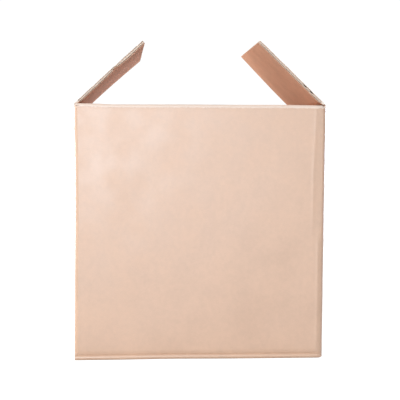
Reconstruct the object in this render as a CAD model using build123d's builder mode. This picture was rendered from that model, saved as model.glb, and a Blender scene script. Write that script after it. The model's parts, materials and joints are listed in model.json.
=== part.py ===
import os
from math import cos, radians, sin

from build123d import *

# A regular slotted carton of single-wall corrugated board, standing open.
# Millimetres and degrees. The origin is the centre of the underside, +Z is up and -Y is the front.
# One sheet makes everything but the tape. Its two side top flaps swing, so each is a solid of its own.

# Driving dimensions of the carton
carton_length = 313.0
carton_width = 237.0
carton_height = 317.0
seam_gap = 3.0
slot_width = 9.6
slot_drop = 2.7
corner_radius = 4.5
inner_corner_radius = 1.0
corner_foot = 0.8

# The board: two liners and a fluted medium, with the flutes upright in the walls
board = 4.0
liner = 0.5
flute_pitch = 7.8
flute_foot = 6.2
flute_crown = 1.0
flute_depth = 2.5
crushed_end = 12.0

# Folds
fold_gap = 0.3
side_clearance = 0.3
crease_board = 2.6
crease_run = 9.0
mitre_clearance = 0.2
side_fold_rise = 1.0
bead_height = 6.0
bead_bulge = 0.6
crest_end_bevel = 3.0

# Where the top flaps stand: the side ones lean in over the mouth, the long ones are tucked down inside
left_flap_lift = 42.0
right_flap_lift = 45.4
tuck_lean = 8.0

# Glued joint at the back left corner
tab_width = 35.0
tab_board = 2.0
tab_trim = 14.0
joint_step = 2.0

# The wide soft crease down the front right corner
soft_crease_top = 12.5
soft_crease_bottom = 6.7
soft_crease_depth = 1.4

# Closing tape along the bottom seam
tape_width = 48.0
tape_thickness = 0.15
tape_rise = 60.0

# Worked out from the sizes above
half_length = carton_length / 2
half_width = carton_width / 2
flap_length = (carton_width - board - seam_gap) / 2
long_panel_half = (carton_length - board - slot_width) / 2
short_panel_half = (carton_width - board - slot_width) / 2
fold_radius = (board + slot_width) / 4 - side_clearance / 2
crushed_board = fold_radius - fold_gap / 2
crest_base = carton_height - fold_radius
hinge_height = carton_height + side_fold_rise
slot_floor = carton_height - slot_drop
tuck_run = flap_length - fold_radius
side_floor = board + fold_gap


def flap_point(lift, along, depth):
    """A point of a side flap's section: along from the hinge line, depth in from the outer face."""
    x = along * cos(radians(lift)) + depth * sin(radians(lift))
    z = along * sin(radians(lift)) - depth * cos(radians(lift))
    return (x - half_length, hinge_height + z)


def tuck_point(along, depth):
    """A point of a tucked flap's section, in from the front's outer face and up from the floor."""
    y = board + fold_gap - (board - crushed_board) + along * sin(radians(tuck_lean))
    z = crest_base - along * cos(radians(tuck_lean))
    return (y - half_width + depth * cos(radians(tuck_lean)), z + depth * sin(radians(tuck_lean)))


def flute_outline(centre, foot_level, crown_level):
    """One hollow between a liner and the medium, widest at the liner."""
    with BuildLine() as hollow:
        Polyline(
            (centre - flute_foot / 2, foot_level),
            (centre + flute_foot / 2, foot_level),
            (centre + flute_crown / 2, crown_level),
            (centre - flute_crown / 2, crown_level),
            close=True,
        )
    return hollow.edges()


def flute_ends(tip_plane, half_span):
    """The hollow flutes at a flap's tip: local x along the tip, local y from the inner face out."""
    count = round(2 * half_span / flute_pitch)
    step = 2 * half_span / count
    with BuildSketch(tip_plane) as ends:
        for index in range(count + 1):
            make_face(flute_outline(index * step - half_span, liner, liner + flute_depth))
        for index in range(count):
            centre = (index + 0.5) * step - half_span
            make_face(flute_outline(centre, board - liner, board - liner - flute_depth))
    return ends.sketch


def long_panel_outline():
    """The front panel's section: tucked top flap, crest, wall, bottom bead and outer bottom flap."""
    with BuildLine() as outline:
        Polyline(
            (fold_radius * 2 - half_width, crest_base),
            tuck_point(crushed_end, board),
            tuck_point(tuck_run, board),
            tuck_point(tuck_run, 0),
            tuck_point(0, 0),
            (crushed_board - half_width, crest_base),
            (board - half_width, crest_base - crushed_end),
            (board - half_width, board),
            (board / 2 + flap_length - half_width, board),
            (board / 2 + flap_length - half_width, 0),
            (board / 2 - half_width, 0),
        )
        ThreePointArc(
            (board / 2 - half_width, 0),
            (-bead_bulge - half_width, bead_height / 2),
            (-half_width, bead_height),
        )
        Line((-half_width, bead_height), (-half_width, crest_base))
        ThreePointArc(
            (-half_width, crest_base),
            (fold_radius - half_width, carton_height),
            (fold_radius * 2 - half_width, crest_base),
        )
    return outline.edges()


def short_panel_outline():
    """The left panel's section: mitred top edge at the hinge line, wall and inner bottom flap."""
    with BuildLine() as outline:
        Polyline(
            (-half_length, side_floor + board),
            (-half_length, hinge_height - mitre_clearance),
            (crease_board - half_length, hinge_height - mitre_clearance - crease_board),
            (board - half_length, hinge_height - crease_run),
            (board - half_length, side_floor + board),
            (board / 2 + flap_length - half_length, side_floor + board),
            (board / 2 + flap_length - half_length, side_floor),
            (board - half_length, side_floor),
        )
        RadiusArc(
            (board - half_length, side_floor),
            (-half_length, side_floor + board),
            board,
        )
    return outline.edges()


def side_flap_outline(lift):
    """The left top flap's section, standing at its lift above the level of a closed flap."""
    with BuildLine() as outline:
        Polyline(
            flap_point(lift, mitre_clearance, 0),
            flap_point(lift, mitre_clearance + crease_board, crease_board),
            flap_point(lift, crease_run, board),
            flap_point(lift, flap_length, board),
            flap_point(lift, flap_length, 0),
            close=True,
        )
    return outline.edges()


def flap_tip_plane(lift):
    """The left flap's cut tip: x runs along the tip to the front, y from the inner face out."""
    x, z = flap_point(lift, flap_length, board)
    outward = (cos(radians(lift)), 0, sin(radians(lift)))
    return Plane(origin=(x, 0, z), x_dir=(0, 1, 0), z_dir=outward)


# Carton: four walls, the folded bottom, the glued tab and the two tucked long flaps
with BuildPart() as carton:
    # Rounded corner folds, left standing between the slots
    with BuildSketch(Plane.XY.offset(corner_foot)) as corner_section:
        outline = Rectangle(carton_length, carton_width)
        fillet(outline.vertices(), corner_radius)
        with BuildSketch(mode=Mode.PRIVATE) as room:
            inside = Rectangle(carton_length - 2 * board, carton_width - 2 * board)
            fillet(inside.vertices(), inner_corner_radius)
        add(room.sketch, mode=Mode.SUBTRACT)
        Rectangle(2 * long_panel_half, carton_width, mode=Mode.SUBTRACT)
        Rectangle(carton_length, 2 * short_panel_half, mode=Mode.SUBTRACT)
    extrude(amount=slot_floor - corner_foot)

    # Long panels at the front and back
    with BuildSketch(Plane.YZ):
        make_face(long_panel_outline())
        mirror(about=Plane.YZ)
    extrude(amount=long_panel_half, both=True)

    # Short panels at the sides
    with BuildSketch(Plane.XZ):
        make_face(short_panel_outline())
        mirror(about=Plane.YZ)
    extrude(amount=short_panel_half, both=True)

    # Crushed ends of the two crests
    with BuildSketch(Plane.XZ):
        with BuildLine():
            Polyline(
                (long_panel_half - crest_end_bevel, carton_height),
                (long_panel_half, carton_height),
                (long_panel_half, slot_floor),
                close=True,
            )
        make_face()
        mirror(about=Plane.YZ)
    extrude(amount=half_width, both=True, mode=Mode.SUBTRACT)

    # Glued tab, pressed thin on the inside of the left wall, and the left panel's cut edge
    with BuildSketch(Plane.XY.offset(side_floor + board + fold_gap)):
        with Locations((board - half_length, half_width - board)):
            Rectangle(tab_board, tab_width, align=(Align.MIN, Align.MAX))
    extrude(amount=crest_base - tab_trim - side_floor - board)
    with BuildSketch(Plane.XY):
        with Locations((-half_length, half_width)):
            Rectangle(board, joint_step, align=(Align.MIN, Align.MAX))
    extrude(amount=carton_height, mode=Mode.SUBTRACT)

    # Soft crease at the front right corner
    for level, reach in ((0, soft_crease_bottom), (carton_height, soft_crease_top)):
        with BuildSketch(Plane.XY.offset(level)):
            with BuildLine():
                Polyline(
                    (half_length - reach, -half_width),
                    (half_length, -half_width - soft_crease_depth),
                    (half_length, -half_width + soft_crease_depth),
                    close=True,
                )
            make_face()
    loft(mode=Mode.SUBTRACT)

    # Recess that the tape is pressed into
    with BuildSketch(Plane.XY):
        Rectangle(carton_length, tape_width)
    extrude(amount=tape_thickness, mode=Mode.SUBTRACT)

    # Hollow flutes of the folded flaps, open at their tips and crushed shut at the folds
    tuck_lean_rad = radians(tuck_lean)
    tucked_tip = Plane(
        origin=(0, *tuck_point(tuck_run, 0)),
        x_dir=(-1, 0, 0),
        z_dir=(0, sin(tuck_lean_rad), -cos(tuck_lean_rad)),
    )
    outer_tip = Plane(
        origin=(0, board / 2 + flap_length - half_width, board),
        x_dir=(1, 0, 0),
        z_dir=(0, 1, 0),
    )
    inner_tip = Plane(
        origin=(board / 2 + flap_length - half_length, 0, side_floor + board),
        x_dir=(0, -1, 0),
        z_dir=(1, 0, 0),
    )
    for tip, half_span, run, opposite in (
        (tucked_tip, long_panel_half, tuck_run - crushed_end, Plane.XZ),
        (outer_tip, long_panel_half, flap_length - crushed_end, Plane.XZ),
        (inner_tip, short_panel_half, flap_length - crushed_end, Plane.YZ),
    ):
        hollows = extrude(flute_ends(tip, half_span), amount=-run, mode=Mode.PRIVATE)
        add(hollows, mode=Mode.SUBTRACT)
        mirror(hollows, about=opposite, mode=Mode.SUBTRACT)

carton.part.label = "carton"

# Side top flaps, hinged at the outer face of the side walls
with BuildPart() as left_flap:
    with BuildSketch(Plane.XZ):
        make_face(side_flap_outline(left_flap_lift))
    extrude(amount=short_panel_half, both=True)
    flutes = flute_ends(flap_tip_plane(left_flap_lift), short_panel_half)
    extrude(flutes, amount=crushed_end - flap_length, mode=Mode.SUBTRACT)

left_flap.part.label = "left_flap"

with BuildPart() as right_flap:
    with BuildSketch(Plane.XZ):
        make_face(side_flap_outline(right_flap_lift))
    extrude(amount=short_panel_half, both=True)
    flutes = flute_ends(flap_tip_plane(right_flap_lift), short_panel_half)
    extrude(flutes, amount=crushed_end - flap_length, mode=Mode.SUBTRACT)
    mirror(about=Plane.YZ, mode=Mode.REPLACE)

right_flap.part.label = "right_flap"

# Tape along the bottom seam, turned up over the foot of both side walls
with BuildPart() as bottom_tape:
    with BuildSketch(Plane.XZ):
        bend = half_length - long_panel_half
        with BuildLine():
            Line((0, 0), (long_panel_half, 0))
            RadiusArc(
                (long_panel_half, 0),
                (half_length + tape_thickness, bend + tape_thickness),
                -bend - tape_thickness,
            )
            Polyline(
                (half_length + tape_thickness, bend + tape_thickness),
                (half_length + tape_thickness, tape_rise),
                (half_length, tape_rise),
                (half_length, bend + tape_thickness),
            )
            RadiusArc(
                (half_length, bend + tape_thickness),
                (long_panel_half, tape_thickness),
                bend,
            )
            Polyline((long_panel_half, tape_thickness), (0, tape_thickness), (0, 0))
        make_face()
        mirror(about=Plane.YZ)
    extrude(amount=tape_width / 2, both=True)

bottom_tape.part.label = "bottom_tape"

os.makedirs("parts", exist_ok=True)
export_step(carton.part, "parts/carton.step")
export_step(left_flap.part, "parts/left_flap.step")
export_step(right_flap.part, "parts/right_flap.step")
export_step(bottom_tape.part, "parts/bottom_tape.step")
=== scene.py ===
"""The look of an open slotted carton of corrugated board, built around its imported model."""

import json
import logging
import math
from dataclasses import dataclass, field
from enum import Enum, IntEnum
from typing import Any, Callable

import bmesh
import bpy
import numpy as np
from mathutils import Matrix, Vector


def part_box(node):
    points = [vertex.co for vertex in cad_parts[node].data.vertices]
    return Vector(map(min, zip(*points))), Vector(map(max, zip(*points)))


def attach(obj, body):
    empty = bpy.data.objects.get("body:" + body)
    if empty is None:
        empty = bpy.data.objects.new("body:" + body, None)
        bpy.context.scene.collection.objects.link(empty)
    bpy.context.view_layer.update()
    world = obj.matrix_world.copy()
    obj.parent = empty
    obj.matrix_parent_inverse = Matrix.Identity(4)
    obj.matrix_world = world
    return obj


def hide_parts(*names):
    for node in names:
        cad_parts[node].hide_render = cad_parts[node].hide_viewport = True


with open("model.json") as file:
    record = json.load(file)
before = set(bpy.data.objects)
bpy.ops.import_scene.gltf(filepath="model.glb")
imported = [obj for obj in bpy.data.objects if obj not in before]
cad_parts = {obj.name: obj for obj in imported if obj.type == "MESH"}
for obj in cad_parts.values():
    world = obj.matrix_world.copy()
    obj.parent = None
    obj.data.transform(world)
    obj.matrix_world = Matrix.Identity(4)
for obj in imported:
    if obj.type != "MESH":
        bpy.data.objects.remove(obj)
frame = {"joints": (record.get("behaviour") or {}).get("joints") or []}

LOG = logging.getLogger("carton")
MM = 0.001
# Each piece's mesh carries its place on the flat sheet and its wear under these names; the wear is partly a
# painted highlight on the front's top fold, and below 0 it is painted shade inside a closed crease.
FLAT = "flat"
WEAR_AND_PAINTED_LIGHT = "wear"
Colour = tuple[float, float, float, float]
Points = tuple[tuple[float, float], ...]
ORIGIN = (0.0, 0.0, 0.0)
# The socket for an input's plain value: by how many numbers it has, or else by its type.
INPUT_SOCKETS = {
    int: "NodeSocketInt",
    float: "NodeSocketFloat",
    3: "NodeSocketVector",
    4: "NodeSocketColor",
    type(None): "NodeSocketMaterial",
}
OUTPUT_SOCKETS = {"VALUE": "NodeSocketFloat", "RGBA": "NodeSocketColor", "GEOMETRY": "NodeSocketGeometry"}
# In millimetres: points this close are one point, and a length may be past its limit by the slack.
SAME_POINT = 0.004
SLACK = 0.01


class Finish(IntEnum):
    """Which paper a face of the board shows, as its material slot."""

    OUTER_LINER = 0
    INNER_LINER = 1
    RAW_EDGE = 2


class Wall(Enum):
    """A wall of the carton, by the direction that it faces."""

    FRONT = (0.0, -1.0)
    RIGHT = (1.0, 0.0)
    BACK = (0.0, 1.0)
    LEFT = (-1.0, 0.0)

    def place(self, reach: float, across: Any, inset: Any, height: Any) -> np.ndarray:
        """Puts points of a wall's own section into the carton.

        Args:
            reach: From the carton's middle to the wall's outer face.
            across: Distance along the wall, to the right as seen from outside.
            inset: Depth in from the outer face.
            height: Height above the floor.

        Returns:
            The points, with x, y and z along the last axis.
        """
        x, y = self.value
        across, inset, height = np.broadcast_arrays(across, inset, height)
        out = reach - inset
        return np.stack([x * out - y * across, y * out + x * across, height], -1)

    @property
    def is_long(self) -> bool:
        """Whether this is one of the two wide walls."""
        return self in (Wall.FRONT, Wall.BACK)


@dataclass(frozen=True)
class BoardStock:
    """Single-wall corrugated board, in millimetres."""

    thickness: float = 4.0
    liner: float = 0.42
    medium: float = 0.26
    flute_pitch: float = 7.8
    fold_radius: float = 3.25
    crushed: float = 3.1
    crushed_run: float = 12.0
    hinge_board: float = 2.6
    hinge_run: float = 9.0
    hinge_close: float = 2.8
    cut_margin: float = 0.8
    groove: float = 3.0

    @property
    def levels(self) -> np.ndarray:
        """Depths of the two liners' faces, as shares of the thickness."""
        share = self.liner / self.thickness
        return np.array((0.0, share, 1.0 - share, 1.0))

    def cut_knots(self, half: float) -> list[float]:
        """Lines across a panel of some half width, closer together at its two cut edges."""
        ends = [half - self.groove, half - self.cut_margin, half]
        return [-end for end in ends] + ends


@dataclass(frozen=True)
class CartonSizes:
    """Outside sizes of the carton in millimetres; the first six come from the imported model."""

    half_length: float
    half_width: float
    hinge_height: float
    short_half: float
    long_half: float
    crest_height: float
    flap_length: float = 115.0
    side_floor: float = 4.3
    wall_foot: float = 12.3
    corner_foot: float = 0.8
    corner_radius: float = 4.5
    tuck_lean: float = 8.0
    tuck_gap: float = 0.3

    @classmethod
    def from_frame(
        cls, joints: list[dict[str, Any]], slot_half: float = 6.8, side_fold_rise: float = 1.0
    ) -> "CartonSizes":
        """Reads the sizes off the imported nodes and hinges.

        Args:
            joints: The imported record's joints.
            slot_half: From a panel's cut edge to the outer face round the corner.
            side_fold_rise: How far the side folds stand above the front fold.

        Returns:
            The carton's sizes.
        """
        hinge = joints[0]["pos_m"]
        short_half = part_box("left_flap")[1].y / MM
        half_length = abs(hinge[0]) / MM
        hinge_height = hinge[2] / MM
        return cls(
            half_length=half_length,
            half_width=short_half + slot_half,
            hinge_height=hinge_height,
            short_half=short_half,
            long_half=half_length - slot_half,
            crest_height=hinge_height - side_fold_rise,
        )

    def reach(self, wall: Wall) -> float:
        """From the carton's middle to a wall's outer face."""
        return self.half_width if wall.is_long else self.half_length

    def panel_half(self, wall: Wall) -> float:
        """Half of a wall's width between its slots."""
        return self.long_half if wall.is_long else self.short_half


def smooth(value: Any, low: float, high: float) -> np.ndarray:
    """Eases from 0 at low to 1 at high."""
    share = np.clip((np.asarray(value, float) - low) / (high - low), 0.0, 1.0)
    return share * share * (3.0 - 2.0 * share)


def near_face(value: Any, reach: float, depths: tuple[float, float]) -> np.ndarray:
    """Eases from 0 at the first depth behind a face to 1 at the second one."""
    return smooth(value, reach - depths[0], reach - depths[1])


def bump(value: Any, middle: float, width: float) -> np.ndarray:
    """Rises to 1 at its middle, and falls off to both sides over its width."""
    return np.exp(-(((value - middle) / width) ** 2))


def ripple(value: Any, length: float, seed: int) -> np.ndarray:
    """A gentle wander between -1 and 1 along a line.

    Args:
        value: Positions along the line.
        length: Length of its longest wave.
        seed: Picks the phases of its waves.

    Returns:
        The wander at each position.
    """
    phases = np.random.default_rng(seed).uniform(0.0, 2.0 * math.pi, 4)
    total = np.zeros(np.shape(value))
    for step, phase in enumerate(phases):
        total = total + np.sin(2.0 * math.pi * (1.0 + 0.83 * step) * value / length + phase) / (step + 1.0)
    return total / 2.1


def axes(across: np.ndarray, run: np.ndarray, levels: np.ndarray) -> tuple[np.ndarray, ...]:
    """Turns three lines of coordinates into arrays that spread over a block together."""
    return across[:, None, None], run[None, :, None], levels[None, None, :]


def lattice(across: np.ndarray, run: np.ndarray, levels: np.ndarray) -> np.ndarray:
    """All the points of a block over three lines of coordinates."""
    return np.stack(np.broadcast_arrays(*axes(across, run, levels)), -1)


def split(knots: Any, spacing: float) -> np.ndarray:
    """Adds even steps between sorted knots, so that no step is longer than the spacing.

    Args:
        knots: The values that the steps have to meet.
        spacing: The longest step.

    Returns:
        All the values, in order.
    """
    knots = np.unique(np.round(np.asarray(knots, float), 4))
    pieces = [
        np.linspace(a, b, max(1, math.ceil((b - a) / spacing)) + 1)[:-1]
        for a, b in zip(knots[:-1], knots[1:])
    ]
    return np.concatenate([*pieces, knots[-1:]])


@dataclass
class FoldPath:
    """A panel's section: matching points of its outer and inner faces, as inset and height."""

    outer: Any
    inner: Any
    run: np.ndarray = field(init=False)

    def __post_init__(self) -> None:
        """Measures the distance along the section."""
        self.outer, self.inner = np.array(self.outer, float), np.array(self.inner, float)
        steps = np.linalg.norm(np.diff((self.outer + self.inner) / 2.0, axis=0), axis=1)
        self.run = np.concatenate([[0.0], np.cumsum(steps)])

    def at(self, run: Any, depth: Any) -> tuple[np.ndarray, np.ndarray]:
        """Finds points of the section.

        Args:
            run: Distances along it.
            depth: Depths, from 0 at the outer face to 1 at the inner one.

        Returns:
            Their insets and heights.
        """
        run, depth = np.broadcast_arrays(run, depth)
        found = []
        for axis in (0, 1):
            outer = np.interp(run, self.run, self.outer[:, axis])
            inner = np.interp(run, self.run, self.inner[:, axis])
            found.append(outer + (inner - outer) * depth)
        return found[0], found[1]


@dataclass
class CellBlock:
    """A run of board as cells: along the row, up the sheet and through its thickness.

    Two blocks that meet leave out the faces between them, and their points there are the same.
    """

    points: np.ndarray
    flat: np.ndarray
    wear: np.ndarray
    solid: np.ndarray
    foot: Any = False
    head: Any = False

    def __post_init__(self) -> None:
        """Makes the flags of a joined foot and head one for all columns of cells, or one for each."""
        self.foot, self.head = (np.reshape(joined, (-1, 1)) for joined in (self.foot, self.head))

    def faces(self, finishes: tuple[int, ...], cuts: tuple[int, ...]) -> tuple[np.ndarray, np.ndarray]:
        """Lists the faces between solid and empty cells, turned outwards.

        Args:
            finishes: The finish of each level, from the outer face in.
            cuts: The finish of each layer where it is cut across.

        Returns:
            Corner numbers of each face, and the finish of each face.
        """
        layers = np.array([int(cut) for cut in cuts])
        number = np.arange(self.points[..., 0].size).reshape(self.points.shape[:3])
        quads: list[np.ndarray] = []
        slots: list[np.ndarray] = []
        for axis in range(3):
            cells = np.moveaxis(self.solid, axis, 0)
            foot, head = (self.foot, self.head) if axis == 1 else (False, False)
            padded = np.concatenate([cells[:1] & foot, cells, cells[-1:] & head])
            for plane, grid in enumerate(np.moveaxis(number, axis, 0)):
                before, after = padded[plane], padded[plane + 1]
                quad = np.stack([grid[:-1, :-1], grid[1:, :-1], grid[1:, 1:], grid[:-1, 1:]], -1)
                for picked, turned in ((before & ~after, axis != 1), (after & ~before, axis == 1)):
                    chosen = quad[picked]
                    quads.append(chosen[:, ::-1] if turned else chosen)
                    if axis == 2:
                        slots.append(np.full(len(chosen), int(finishes[plane])))
                    else:
                        slots.append(layers[np.nonzero(picked)[1]])
        return np.concatenate(quads), np.concatenate(slots)


BOARD_FINISHES = (Finish.OUTER_LINER, Finish.RAW_EDGE, Finish.RAW_EDGE, Finish.INNER_LINER)
BOARD_CUTS = (Finish.OUTER_LINER, Finish.RAW_EDGE, Finish.INNER_LINER)


class MeshBuilder:
    """Gathers blocks in millimetres, and makes one mesh of them in metres."""

    def __init__(self) -> None:
        """Starts with no points."""
        self.points: list[np.ndarray] = []
        self.flat: list[np.ndarray] = []
        self.wear: list[np.ndarray] = []
        self.quads: list[np.ndarray] = []
        self.slots: list[np.ndarray] = []
        self.count = 0

    def add(
        self,
        block: CellBlock,
        finishes: tuple[int, ...] = BOARD_FINISHES,
        cuts: tuple[int, ...] = BOARD_CUTS,
    ) -> None:
        """Adds a block's points and faces.

        Args:
            block: The block.
            finishes: The finish of each level, from the outer face in.
            cuts: The finish of each layer where it is cut across.
        """
        quads, slots = block.faces(finishes, cuts)
        self.points.append(block.points.reshape(-1, 3))
        self.flat.append(block.flat.reshape(-1, 3))
        self.wear.append(block.wear.reshape(-1))
        self.quads.append(quads + self.count)
        self.slots.append(slots)
        self.count += block.wear.size

    def build(self, name: str, materials: list[Any], sharp: float = 38.0) -> bpy.types.Object:
        """Makes the mesh, merges points that blocks share and drops the unused ones.

        Args:
            name: The piece's name.
            materials: Its materials, in the order of their slots.
            sharp: Angle in degrees past which an edge is shaded sharp.

        Returns:
            The finished object, at the origin.
        """
        mesh = paper_mesh(name, self.points, self.quads, self.flat, self.wear)
        mesh.polygons.foreach_set("material_index", np.concatenate(self.slots).astype(np.int32))
        tidy = bmesh.new()
        tidy.from_mesh(mesh)
        bmesh.ops.remove_doubles(tidy, verts=tidy.verts, dist=SAME_POINT * MM)
        loose = [v for v in tidy.verts if not v.link_faces]
        bmesh.ops.delete(tidy, geom=loose, context="VERTS")
        tidy.to_mesh(mesh)
        tidy.free()
        return finished(name, mesh, materials, sharp)


def paper_mesh(
    name: str,
    points: list[np.ndarray],
    faces: list[np.ndarray],
    flat: list[np.ndarray],
    wear: list[np.ndarray],
) -> bpy.types.Mesh:
    """Makes a mesh in metres from parts in millimetres.

    Args:
        name: The mesh's name.
        points: The points of each part.
        faces: The corner numbers of each part's faces.
        flat: Where each part's points lie on the flat sheet.
        wear: How worn each part's points are, or below 0 where painted shade darkens a closed crease.

    Returns:
        The mesh, with the sheet's coordinates and the wear at its points.
    """
    mesh = bpy.data.meshes.new(name)
    mesh.from_pydata((np.concatenate(points) * MM).tolist(), [], np.concatenate(faces).tolist())
    for label, kind, key, values in (
        (FLAT, "FLOAT_VECTOR", "vector", np.concatenate(flat) * MM),
        (WEAR_AND_PAINTED_LIGHT, "FLOAT", "value", np.concatenate(wear)),
    ):
        attribute = mesh.attributes.new(label, kind, "POINT")
        attribute.data.foreach_set(key, np.asarray(values, np.float32).ravel())
    return mesh


def linked(name: str, data: Any) -> bpy.types.Object:
    """Puts a new object with some data into the scene.

    Args:
        name: The object's name.
        data: Its mesh, lamp or camera.

    Returns:
        The object.
    """
    made = bpy.data.objects.new(name, data)
    bpy.context.scene.collection.objects.link(made)
    return made


def applied(holder: bpy.types.Object) -> bpy.types.Mesh:
    """Turns a holder with its modifiers into a plain mesh, and removes the holder.

    Args:
        holder: The object that holds the modifiers.

    Returns:
        The plain mesh.
    """
    seen = holder.evaluated_get(bpy.context.evaluated_depsgraph_get())
    mesh = bpy.data.meshes.new_from_object(seen)
    source = holder.data
    bpy.data.objects.remove(holder)
    bpy.data.meshes.remove(source)
    return mesh


def finished(
    name: str, mesh: bpy.types.Mesh, materials: list[bpy.types.Material], sharp: float
) -> bpy.types.Object:
    """Puts a finished mesh into the scene.

    Args:
        name: The piece's name.
        mesh: Its mesh, in the carton's frame.
        materials: Its materials, in the order of their slots.
        sharp: Angle in degrees past which an edge is shaded sharp.

    Returns:
        The object that shows the mesh.
    """
    mesh.name = name
    for material in materials:
        mesh.materials.append(material)
    mesh.polygons.foreach_set("use_smooth", np.ones(len(mesh.polygons), bool))
    mesh.set_sharp_from_angle(angle=math.radians(sharp))
    mesh.update()
    return linked(name, mesh)


class Graph:
    """Adds and links the nodes of one tree, from left to right."""

    def __init__(self, tree: bpy.types.NodeTree) -> None:
        """Takes the tree that the nodes go into."""
        self.tree = tree
        self.column = 0

    def node(self, kind: str, inputs: dict[Any, Any] | None = None, **settings: Any) -> bpy.types.Node:
        """Adds a node.

        Args:
            kind: The node's type.
            inputs: Values or sockets for its inputs, by name or number.
            settings: Properties of the node.

        Returns:
            The new node.
        """
        made = self.tree.nodes.new(kind)
        self.column += 1
        made.location = (190 * self.column, -60 * (self.column % 5))
        for key, value in settings.items():
            setattr(made, key, value)
        for key, value in (inputs or {}).items():
            if isinstance(value, bpy.types.NodeSocket):
                self.tree.links.new(value, made.inputs[key])
            else:
                made.inputs[key].default_value = value
        return made

    def math(self, operation: str, *values: Any, clamp: bool = False) -> bpy.types.NodeSocket:
        """Adds a Math node and returns its result."""
        made = self.node("ShaderNodeMath", dict(enumerate(values)), operation=operation, use_clamp=clamp)
        return made.outputs[0]

    def plus(self, one: Any, other: Any) -> bpy.types.NodeSocket:
        """Adds two values."""
        return self.math("ADD", one, other)

    def times(self, one: Any, other: Any) -> bpy.types.NodeSocket:
        """Multiplies two values."""
        return self.math("MULTIPLY", one, other)

    def noise(self, vector: Any, scale: float, detail: float = 3.0, rough: float = 0.55) -> Any:
        """Adds a noise texture and returns its value."""
        inputs = {"Vector": vector, "Scale": scale, "Detail": detail, "Roughness": rough}
        return self.node("ShaderNodeTexNoise", inputs).outputs[0]

    def scaled(self, vector: Any, factors: tuple[float, float, float]) -> bpy.types.NodeSocket:
        """Stretches a vector by one factor for each axis."""
        made = self.node("ShaderNodeVectorMath", {0: vector, 1: factors}, operation="MULTIPLY")
        return made.outputs[0]

    def ramp(self, value: Any, low: float, high: float, to_low: float = 0.0, to_high: float = 1.0) -> Any:
        """Maps a value smoothly from one range to another, and keeps it inside."""
        inputs = {"Value": value, "From Min": low, "From Max": high, "To Min": to_low, "To Max": to_high}
        return self.node("ShaderNodeMapRange", inputs, interpolation_type="SMOOTHSTEP").outputs[0]

    def mix(self, share: Any, one: Any, other: Any, blend: str = "MIX") -> bpy.types.NodeSocket:
        """Mixes two colours."""
        inputs = {0: share, 6: one, 7: other}
        return self.node("ShaderNodeMix", inputs, data_type="RGBA", blend_type=blend).outputs[2]

    def grey(self, value: Any) -> bpy.types.NodeSocket:
        """Makes a grey of one value."""
        return self.node("ShaderNodeCombineColor", {0: value, 1: value, 2: value}).outputs[0]

    def bump(self, height: Any, depth: float, strength: float, below: Any = None) -> bpy.types.NodeSocket:
        """Raises a surface by a height map.

        Args:
            height: The height map, from 0 to 1.
            depth: Its depth in millimetres.
            strength: How strongly it shows.
            below: The relief that it lies on, where there is one.

        Returns:
            The raised surface's normal.
        """
        inputs = {"Height": height, "Distance": depth * MM, "Strength": strength}
        if below is not None:
            inputs["Normal"] = below
        return self.node("ShaderNodeBump", inputs).outputs[0]

    def sheet_place(self) -> tuple[bpy.types.NodeSocket, bpy.types.NodeSocket]:
        """The place on the piece, and the place on its flat sheet."""
        place = self.node("ShaderNodeTexCoord").outputs["Object"]
        return place, self.node("ShaderNodeAttribute", attribute_name=FLAT).outputs["Vector"]


def emptied(holder: bpy.types.Material | bpy.types.World) -> Graph:
    """Clears the nodes of a material or a world, and returns a graph to fill.

    Args:
        holder: The material or world.

    Returns:
        A graph on its node tree.
    """
    holder.use_nodes = True
    holder.node_tree.nodes.clear()
    return Graph(holder.node_tree)


def shared_group(
    name: str,
    inputs: dict[str, Any],
    fill: Callable[[Graph, Any], dict[str, bpy.types.NodeSocket]],
    kind: str = "ShaderNodeTree",
) -> bpy.types.NodeTree:
    """Builds a group of nodes once, for all that use it.

    Args:
        name: The group's name.
        inputs: The plain value of each input, or None for a material.
        fill: Adds the nodes, and returns what goes to each output.
        kind: The type of its tree.

    Returns:
        The group.
    """
    known = bpy.data.node_groups.get(name)
    if known:
        return known
    group = bpy.data.node_groups.new(name, kind)
    for label, value in inputs.items():
        held = INPUT_SOCKETS[len(value) if isinstance(value, tuple) else type(value)]
        socket = group.interface.new_socket(name=label, in_out="INPUT", socket_type=held)
        if value is not None:
            socket.default_value = value
    graph = Graph(group)
    made = fill(graph, graph.node("NodeGroupInput").outputs)
    for label, socket in made.items():
        held = OUTPUT_SOCKETS[socket.type]
        group.interface.new_socket(name=label, in_out="OUTPUT", socket_type=held)
    graph.node("NodeGroupOutput", made)
    return group


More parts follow.
